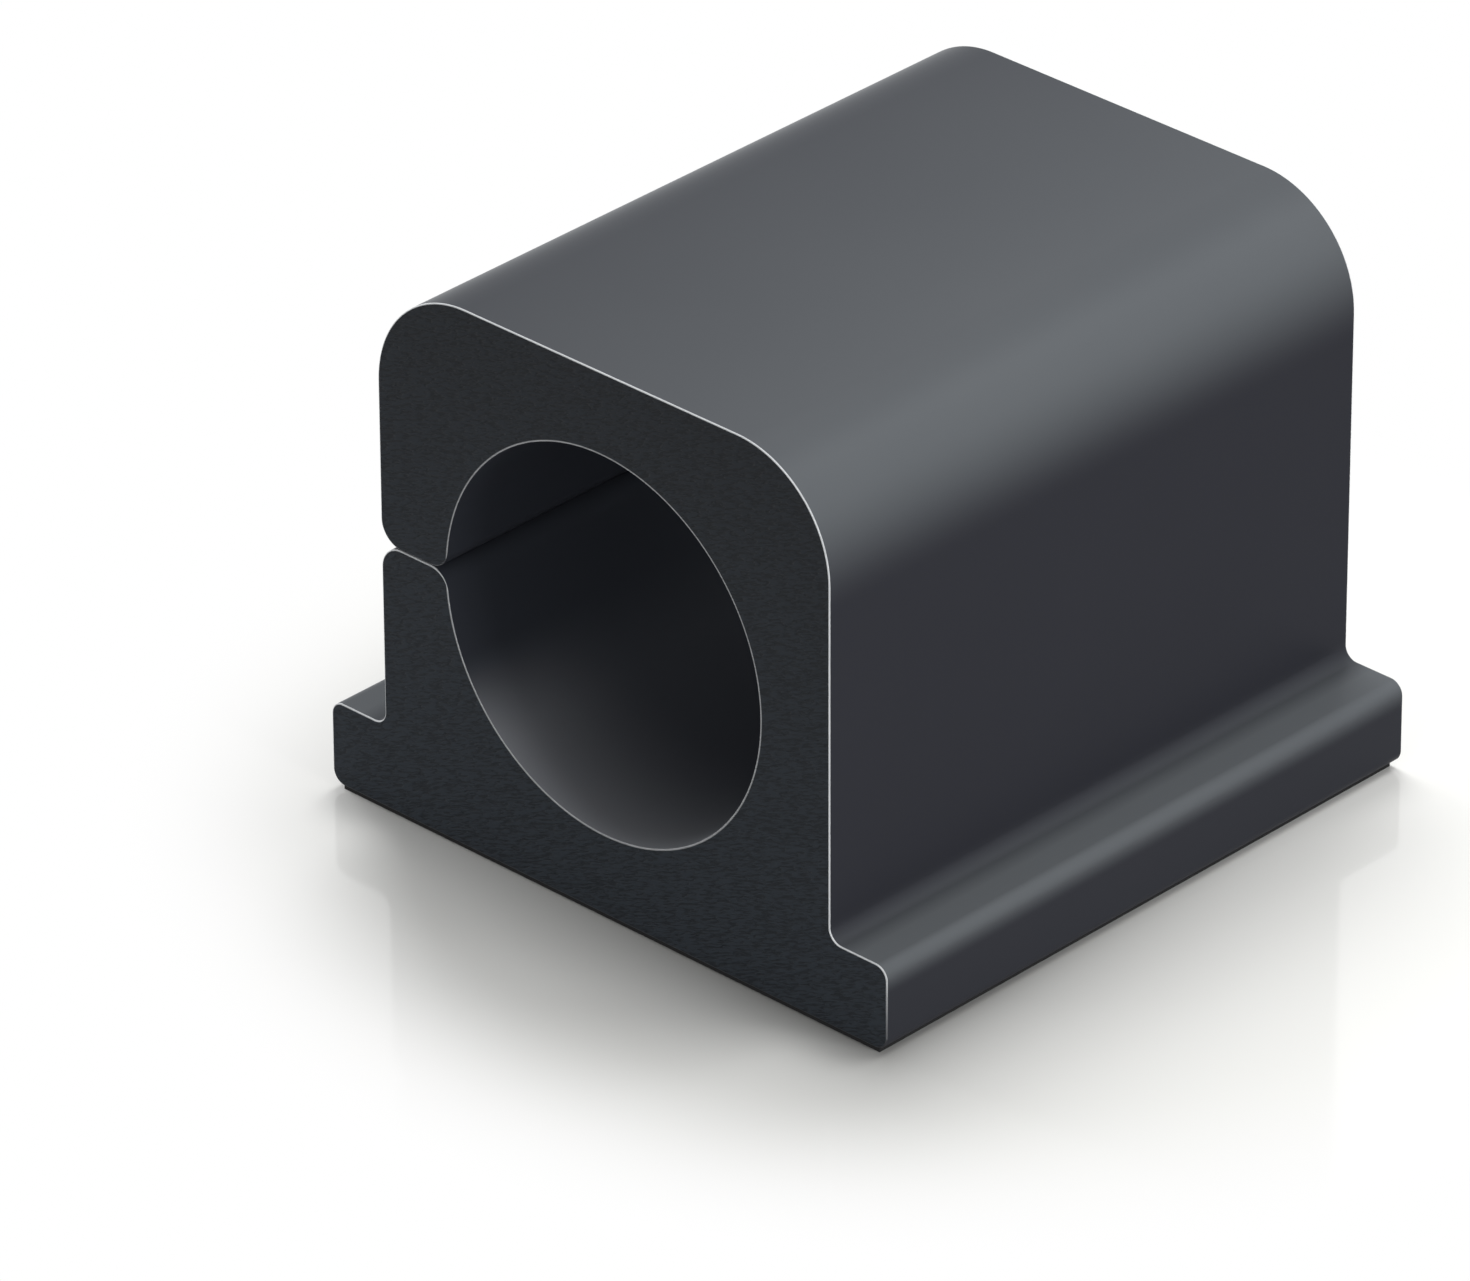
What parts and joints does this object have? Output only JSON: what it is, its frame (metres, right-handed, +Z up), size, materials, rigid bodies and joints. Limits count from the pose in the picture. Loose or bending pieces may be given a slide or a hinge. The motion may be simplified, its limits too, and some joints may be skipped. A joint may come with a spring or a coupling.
{
  "type": "adhesive cable clip",
  "caption": "Black elastomer cable clip: square block with a through bore, a side slit between soft jaws, and a flanged base on an adhesive pad.",
  "frame": {"origin": "middle of the adhesive pad's underside, on the surface that the clip is stuck to", "axes": "+Y along the cable and the bore, +Z up away from the surface, -X towards the slit's mouth"},
  "size_m": [0.025, 0.025, 0.0202],
  "materials": {
    "clip_body": "satin moulded sides, fine leathery grain on the end faces",
    "adhesive_pad": "matt"
  },
  "bodies": {
    "root": {"clip_body": "clip_body", "adhesive_pad": "adhesive_pad"}
  },
  "joints": []
}
